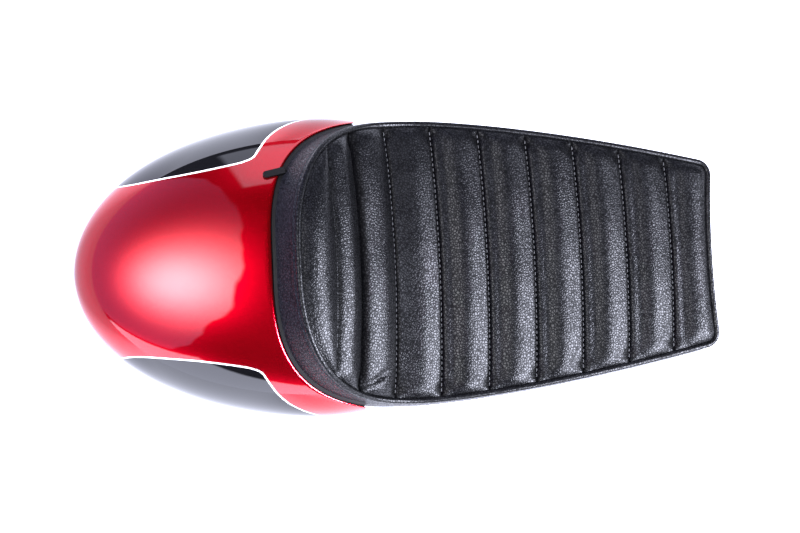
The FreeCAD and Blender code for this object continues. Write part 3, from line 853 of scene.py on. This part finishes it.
def paint(name):
    s = Shader(name)
    gap = s.node("ShaderNodeAttribute", attribute_name="stripe_gap").outputs["Fac"]
    flake = s.node("ShaderNodeTexVoronoi", {"Vector": s.place(), "Scale": 1800.0}).outputs["Color"]
    tone = s.node("ShaderNodeSeparateColor", {"Color": flake}).outputs[0]
    cloud = s.noise(9.0, 2.0)
    mixed = s.math("ADD", s.math("MULTIPLY", tone, 0.5), s.math("MULTIPLY", cloud, 0.5))
    flakes = s.ramp(mixed, [(0.2, (0.62, 0.0, 0.012)), (0.8, (0.78, 0.0, 0.018))])
    dye = s.ramp(mixed, [(0.2, (0.075, 0.0, 0.0002)), (0.8, (0.095, 0.0, 0.0004))])
    side = s.range(gap, 0.35, 0.75, 0.0, 1.0)
    off = s.math("ABSOLUTE", gap)
    line = s.range(off, 0.75, 1.05, 1.0, 0.0)
    plain = s.math("MAXIMUM", side, line)
    ripple = s.noise(120.0, 2.0)
    clear = {"Coat Weight": 1.0, "Coat Roughness": 0.02, "Coat IOR": 1.5,
             "Coat Normal": s.bump(ripple, 0.00004, 0.25)}
    metal = s.node("ShaderNodeBsdfPrincipled", {
        "Base Color": flakes, "Metallic": 1.0, "Roughness": 0.27, **clear})
    solid = s.mix(side, dye, (0.004, 0.004, 0.005, 1.0))
    solid = s.mix(line, solid, (0.86, 0.86, 0.86, 1.0))
    flat = s.node("ShaderNodeBsdfPrincipled", {
        "Base Color": solid, "Roughness": 0.5, "Specular IOR Level": 0.0, **clear})
    share = s.range(plain, 0.0, 1.0, 0.5, 0.0)
    both = s.node("ShaderNodeMixShader", {0: share, 1: flat.outputs[0], 2: metal.outputs[0]})
    s.tree.links.new(both.outputs[0], s.out.inputs["Surface"])
    return s.material


def moulded(name, low, high, rough, scale=900.0):
    s = Shader(name)
    grain = s.noise(scale, 4.0, 0.6)
    cloud = s.noise(22.0, 3.0)
    colour = s.ramp(cloud, [(0.3, low), (0.7, high)])
    return s.surface({
        "Base Color": colour,
        "Roughness": s.math("ADD", s.range(grain, 0.3, 0.7, -0.06, 0.06), rough),
        "Normal": s.bump(grain, 0.00012, 0.5), "Specular IOR Level": 0.25})


def metal(name, low, high, rough):
    s = Shader(name)
    brushed = s.node("ShaderNodeMapping", {"Vector": s.place(), "Scale": (1.0, 1.0, 9.0)})
    streak = s.node("ShaderNodeTexNoise", {
        "Vector": brushed.outputs["Vector"], "Scale": 700.0, "Detail": 4.0}).outputs["Fac"]
    cloud = s.noise(60.0, 3.0)
    return s.surface({
        "Base Color": s.ramp(cloud, [(0.3, low), (0.7, high)]), "Metallic": 1.0,
        "Roughness": s.math("ADD", s.range(streak, 0.3, 0.7, -0.05, 0.08), rough),
        "Normal": s.bump(streak, 0.00006, 0.4)})


def foam(name):
    s = Shader(name)
    cell = s.node("ShaderNodeTexVoronoi", {"Vector": s.place(), "Scale": 700.0}).outputs["Distance"]
    colour = s.ramp(cell, [(0.0, (0.12, 0.115, 0.10)), (0.6, (0.40, 0.38, 0.33))])
    return s.surface({"Base Color": colour, "Roughness": 0.9, "Normal": s.bump(cell, 0.0006, 0.7)})


def dress(obj, material):
    obj.data.materials.clear()
    obj.data.materials.append(material)


# The seat
panel, points, kinds, shares, pins = build_panel()
puff(panel, pins, *points.shape[:2])
welt = build_welt()
band = build_band()
stitches = build_stitches(points, kinds, shares)
staples = build_staples()
cowl = build_cowl()

cover = vinyl("black_vinyl")
dress(panel, cover)
# The side band's copy of the vinyl is painted 2.6 times lighter than the top, as painted light, and has
# less sheen.
dress(band, vinyl("band_vinyl_lightened", 1.1, 0.35, 2.6))
dress(welt, vinyl("welt_vinyl", 0.35))
dress(stitches, thread("black_thread"))
dress(cowl, paint("candy_paint"))
rubber = moulded("black_rubber", (0.0015, 0.0015, 0.0018), (0.003, 0.003, 0.0034), 0.6)
plastic = moulded("pan_plastic", (0.016, 0.016, 0.017), (0.026, 0.026, 0.028), 0.55, 500.0)
zinc = metal("zinc_plate", (0.56, 0.57, 0.60), (0.66, 0.67, 0.68), 0.30)
looks = {
    "base_pan": plastic,
    "cowl_edge_trim": rubber,
    "rubber_buffers": rubber,
    "foam_core": foam("grey_foam"),
    "mount_inserts": metal("plain_brass", (0.62, 0.44, 0.18), (0.74, 0.55, 0.26), 0.32),
    "cowl_screws": zinc,
    "cowl_washers": zinc,
    "cowl_clip_nuts": zinc,
}
for node, material in looks.items():
    dress(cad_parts[node], material)
dress(staples, zinc)

for piece, node, slot in (
    (panel, "cover_top_panel", "cover_vinyl"),
    (welt, "piping_welt", "cover_vinyl"),
    (band, "cover_side_band", "cover_vinyl"),
    (cowl, "tail_cowl", "cowl_paint"),
):
    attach(piece, "root")
    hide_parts(node)
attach(stitches, "root")
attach(staples, "root")


# Stage, lights and camera
def build_floor():
    obj = add_mesh("floor", [(-1500, -1150, 0), (1500, -1150, 0), (1500, 1150, 0), (-1500, 1150, 0)],
                   [(0, 1, 2, 3)], smooth=False)
    s = Shader("glowing_floor")
    tone = s.ramp(s.noise(3.0, 2.0), [(0.3, (0.020, 0.020, 0.020)), (0.7, (0.026, 0.026, 0.026))])
    x, y, _ = s.node("ShaderNodeSeparateXYZ", {0: s.place()}).outputs
    # The floor glows as painted light: brightest round the seat and on its right, dimmer behind the tail.
    aside = s.math("SUBTRACT", s.math("MULTIPLY", s.math("ABSOLUTE", y), 0.7), s.math("MULTIPLY", y, 0.2))
    tail = s.math("ADD", x, aside)
    lit = s.math("MULTIPLY", s.range(tail, -0.34, -0.12, 0.0, 1.0), s.range(y, -0.15, 0.15, 3.6, 2.4))
    # Painted shade: the floor's glow is weaker beside the arms of the cowl, and weakest on the left.
    beside = s.math("DIVIDE", s.math("ADD", x, 0.075), 0.065)
    beside = s.math("POWER", 2.718, s.math("MULTIPLY", s.math("MULTIPLY", beside, beside), -1.0))
    dip = s.math("MULTIPLY", beside, s.range(y, -0.15, 0.15, 0.75, 1.0))
    lit = s.math("MULTIPLY", lit, s.math("SUBTRACT", 1.0, dip))
    glow = s.math("ADD", lit, s.range(tail, -0.50, -0.42, 0.85, 1.0))
    cool = s.ramp(s.range(tail, -0.40, -0.15, 0.0, 1.0), [
        (0.0, (1.0, 1.0, 1.35)), (1.0, (0.93, 0.96, 1.16))])
    skin = s.node("ShaderNodeBsdfPrincipled", {
        "Base Color": tone, "Roughness": 0.7, "Emission Color": cool, "Emission Strength": glow}).outputs[0]
    # Clear from below, so that the underside of the seat can be looked at.
    clear = s.node("ShaderNodeBsdfTransparent").outputs[0]
    under = s.node("ShaderNodeNewGeometry").outputs["Backfacing"]
    both = s.node("ShaderNodeMixShader", {0: under, 1: skin, 2: clear}).outputs[0]
    s.tree.links.new(both, s.out.inputs["Surface"])
    dress(obj, s.material)


class Sky(Shader):
    """The studio round the seat, by direction: azimuth from +X toward +Y, elevation from the floor."""

    def __init__(self, name):
        self.world = bpy.data.worlds.new(name)
        bpy.context.scene.world = self.world
        self.world.use_nodes = True
        self.tree = self.world.node_tree
        self.tree.nodes.clear()
        self.out = self.tree.nodes.new("ShaderNodeOutputWorld")
        coords = self.node("ShaderNodeTexCoord").outputs["Generated"]
        self.way = self.node("ShaderNodeVectorMath", {0: coords}, operation="NORMALIZE").outputs[0]
        x, y, z = self.node("ShaderNodeSeparateXYZ", {0: self.way}).outputs
        self.azimuth = self.math("DEGREES", self.math("ARCTAN2", y, x))
        self.elevation = self.math("DEGREES", self.math("ARCSINE", z))

    def away(self, azimuth, elevation):
        """Degrees between the direction and a fixed one."""
        a, e = math.radians(azimuth), math.radians(elevation)
        aim = (math.cos(e) * math.cos(a), math.cos(e) * math.sin(a), math.sin(e))
        dot = self.node("ShaderNodeVectorMath", {0: self.way, 1: aim}, operation="DOT_PRODUCT")
        return self.math("DEGREES", self.math("ARCCOSINE", dot.outputs["Value"]))

    def step(self, value, a, b):
        return self.node("ShaderNodeMapRange", {
            "Value": value, "From Min": a, "From Max": b, "To Min": 0.0, "To Max": 1.0,
        }, interpolation_type="SMOOTHSTEP").outputs["Result"]

    def card(self, a0, a1, e0, e1, soft):
        sides = self.math("MULTIPLY", self.step(self.azimuth, a0 - soft, a0 + soft),
                          self.step(self.azimuth, a1 + soft, a1 - soft))
        ends = self.math("MULTIPLY", self.step(self.elevation, e0 - soft, e0 + soft),
                         self.step(self.elevation, e1 + soft, e1 - soft))
        return self.math("MULTIPLY", sides, ends)


def build_world():
    s = Sky("studio")
    # The top edge of a low white card on the right has two slopes; `over` is the height against it.
    turn = s.math("ADD", s.azimuth, 115.0)
    one = s.math("MULTIPLY", s.math("MAXIMUM", turn, 0.0), 0.46)
    two = s.math("MULTIPLY", s.math("MINIMUM", turn, 0.0), -0.63)
    over = s.math("ADD", s.elevation, s.math("ADD", one, two))
    card = s.math("MULTIPLY", s.step(over, 23.0, 20.5), s.card(-150.0, -62.0, -90.0, 60.0, 1.5))
    # A wide diffuser behind the tail, with a hot spot near its upper edge and a slightly uneven rim.
    wave = s.node("ShaderNodeTexNoise", {"Vector": s.way, "Scale": 3.5, "Detail": 1.0}).outputs["Fac"]
    off = s.math("ADD", s.away(173.0, 21.0), s.range(wave, 0.3, 0.7, -1.6, 1.6))
    disc = s.math("MULTIPLY", s.step(off, 59.0, 57.6), s.step(over, 23.5, 25.5))
    spot = s.math("DIVIDE", s.away(191.0, 59.0), 13.5)
    glow = s.math("POWER", 2.718, s.math("MULTIPLY", s.math("MULTIPLY", spot, spot), -0.5))
    key = s.math("MULTIPLY", disc, s.math("MULTIPLY", glow, 15.5))
    fade = s.step(s.away(120.0, 62.0), 20.0, 64.0)
    rear = s.math("MULTIPLY", disc, s.range(fade, 0.0, 1.0, 0.28, 0.74))
    left = s.math("MULTIPLY", s.card(58.0, 101.0, 1.0, 39.0, 1.0), 2.0)
    sides = s.math("ADD", s.math("ADD", left, s.math("MULTIPLY", card, 5.5)), 0.025)
    parts = (((0.92, 0.95, 1.16, 1.0), sides), ((0.86, 0.86, 1.80, 1.0), rear), ((1.0, 1.0, 1.0, 1.0), key))
    light = None
    for colour, strength in parts:
        part = s.node("ShaderNodeBackground", {"Color": colour, "Strength": strength}).outputs[0]
        light = part if light is None else s.node("ShaderNodeAddShader", {0: light, 1: part}).outputs[0]
    # Behind the seat there is only a pale wall; the lamps and cards show in reflections alone.
    wall = s.node("ShaderNodeBackground", {"Color": (0.93, 0.94, 0.96, 1.0), "Strength": 1.0}).outputs[0]
    straight = s.node("ShaderNodeLightPath").outputs["Is Camera Ray"]
    both = s.node("ShaderNodeMixShader", {0: straight, 1: light, 2: wall}).outputs[0]
    s.tree.links.new(both, s.out.inputs["Surface"])


def add_lamp(name, at, aim, width, height, energy, colour, unseen):
    """A soft box; `unseen` names the kind of ray, glossy or diffuse, that it leaves out."""
    data = bpy.data.lights.new(name, "AREA")
    data.shape = "RECTANGLE"
    data.size = width
    data.size_y = height
    data.energy = energy
    data.color = colour
    lamp = bpy.data.objects.new(name, data)
    lamp.location = at
    lamp.rotation_euler = (Vector(aim) - Vector(at)).to_track_quat("-Z", "Y").to_euler()
    setattr(lamp, "visible_" + unseen, False)
    bpy.context.scene.collection.objects.link(lamp)


# Aim of the front box, and the lens that gives the photo's scale.
BOX_AIM = (0.1, 0.0, 0.07)
BOX_FAR = 2.0
FOCAL_PX, PHOTO_WIDE_PX = 1710.0, 800.0


def build_lamps():
    # The sheen on the front of every channel comes from a box ahead on the right.
    a, e = math.radians(-31.0), math.radians(39.0)
    way = (math.cos(e) * math.cos(a), math.cos(e) * math.sin(a), math.sin(e))
    at = tuple(aim + BOX_FAR * step for aim, step in zip(BOX_AIM, way))
    add_lamp("front_box", at, BOX_AIM, 1.9, 1.4, 420.0, (0.90, 0.93, 1.1), "diffuse")
    add_lamp("left_fill", (-0.30, 0.38, 1.25), (-0.1, 0.0, 0.08), 0.7, 0.7, 34.0,
             (0.94, 0.97, 1.05), "glossy")


def build_camera():
    turn, tip, roll, far = math.radians(13.0), math.radians(3.8), math.radians(-1.77), 1.710
    back = Vector((-math.tan(turn), -math.tan(tip), 1.0)).normalized()
    right = Vector((1.0, 0.0, 0.0))
    right = (right - back * right.dot(back)).normalized()
    up = back.cross(right)
    r = right * math.cos(roll) + up * math.sin(roll)
    u = up * math.cos(roll) - right * math.sin(roll)
    data = bpy.data.cameras.new("camera")
    data.sensor_fit = "HORIZONTAL"
    data.sensor_width = 36.0
    data.lens = data.sensor_width * FOCAL_PX / PHOTO_WIDE_PX
    cam = bpy.data.objects.new("camera", data)
    eye = Vector((-0.011, -0.0044, 0.060)) + back * far
    cam.matrix_world = Matrix((
        (r.x, u.x, back.x, eye.x), (r.y, u.y, back.y, eye.y), (r.z, u.z, back.z, eye.z), (0, 0, 0, 1)))
    bpy.context.scene.collection.objects.link(cam)
    bpy.context.scene.camera = cam


bpy.context.scene.view_settings.view_transform = "Standard"
build_floor()
build_world()
build_lamps()
build_camera()
